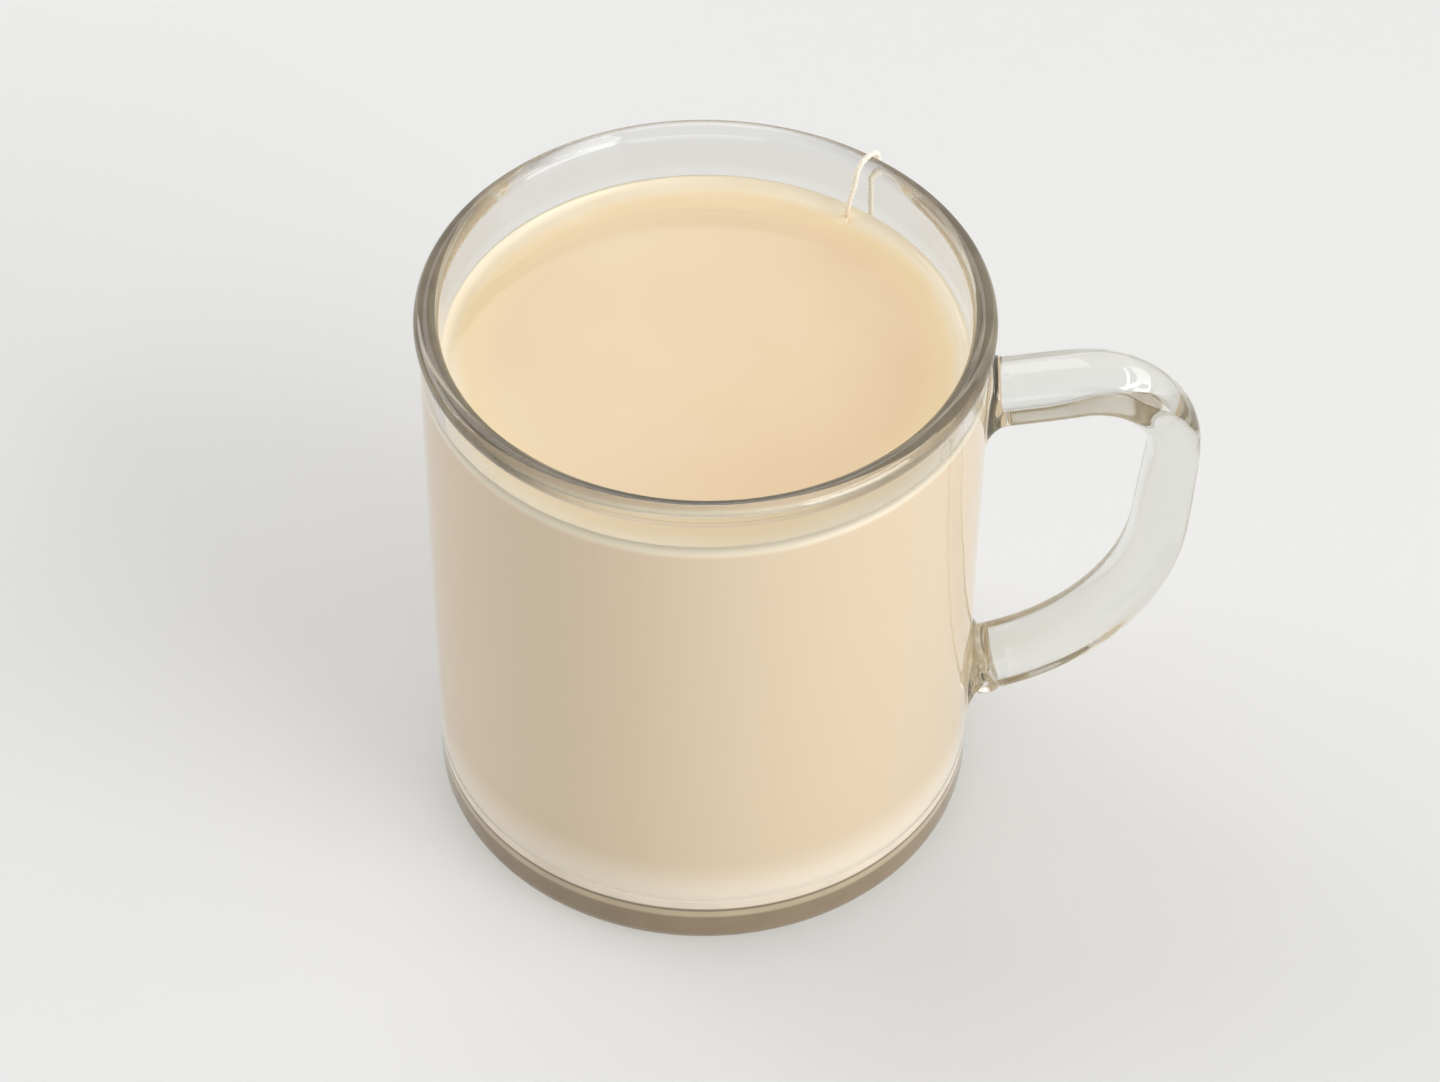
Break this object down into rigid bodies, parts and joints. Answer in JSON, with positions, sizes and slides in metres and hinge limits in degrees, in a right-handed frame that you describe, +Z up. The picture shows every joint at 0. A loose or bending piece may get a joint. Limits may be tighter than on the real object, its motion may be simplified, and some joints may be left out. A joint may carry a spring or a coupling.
{
  "type": "glass mug of milk tea",
  "caption": "A clear glass mug with a thick rim and a moulded handle, filled with milk tea. The string of a tea bag hangs over the rim, with a blank tag.",
  "frame": {"origin": "centre of the foot ring, on the surface that the mug stands on", "axes": "+Z up through the rim, +X from the cup towards its handle, +Y to the side that the string hangs on"},
  "size_m": [0.1177, 0.0858, 0.0975],
  "materials": {
    "glass": "clear, fire-polished",
    "tea": "liquid surface",
    "string": "twisted cotton",
    "card": "plain"
  },
  "bodies": {
    "root": {"glass_mug": "glass", "milk_tea": "tea", "bag_string": "string", "string_tag": "card"}
  },
  "joints": []
}
